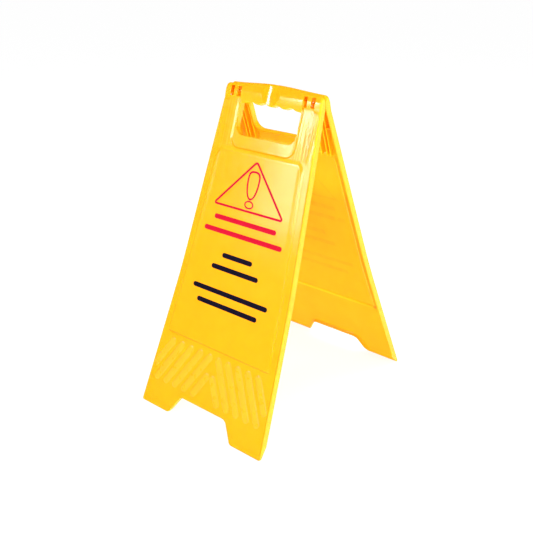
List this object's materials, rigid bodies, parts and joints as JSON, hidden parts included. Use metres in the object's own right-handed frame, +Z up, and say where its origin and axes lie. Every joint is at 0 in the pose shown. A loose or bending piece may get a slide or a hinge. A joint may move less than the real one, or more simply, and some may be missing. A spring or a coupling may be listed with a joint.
{
  "type": "wet floor sign",
  "caption": "Folding A-frame floor warning sign: hinged yellow moulded leaves with a hand hole, finger-grooved handle, raised print field and ribbed feet.",
  "frame": {"origin": "on the floor, midway between the four feet of the open sign", "axes": "+Z up; X along the sign's width and the hinge; the front panel faces -Y and the rear panel +Y"},
  "size_m": [0.3022, 0.4454, 0.59],
  "materials": {
    "yellow_plastic": "semi-gloss moulded polypropylene, slightly translucent",
    "red_ink": "screen-printed ink film",
    "black_ink": "screen-printed ink film"
  },
  "bodies": {
    "front_leaf": {"front_panel": "yellow_plastic", "front_triangle": "red_ink", "front_exclamation": "red_ink", "front_dot": "red_ink", "front_red_bar_1": "red_ink", "front_red_bar_2": "red_ink", "front_black_bar_1": "black_ink", "front_black_bar_2": "black_ink", "front_black_bar_3": "black_ink", "front_black_bar_4": "black_ink"},
    "rear_leaf": {"rear_panel": "yellow_plastic", "rear_triangle": "red_ink", "rear_exclamation": "red_ink", "rear_dot": "red_ink", "rear_red_bar_1": "red_ink", "rear_red_bar_2": "red_ink", "rear_black_bar_1": "black_ink", "rear_black_bar_2": "black_ink", "rear_black_bar_3": "black_ink", "rear_black_bar_4": "black_ink"}
  },
  "joints": [
    {"name": "fold", "type": "hinge", "parent": "front_leaf", "child": "rear_leaf", "pos_m": [0, 0, 0.5635], "axis": [-1, 0, 0], "range_deg": [0, 37.7]}
  ]
}
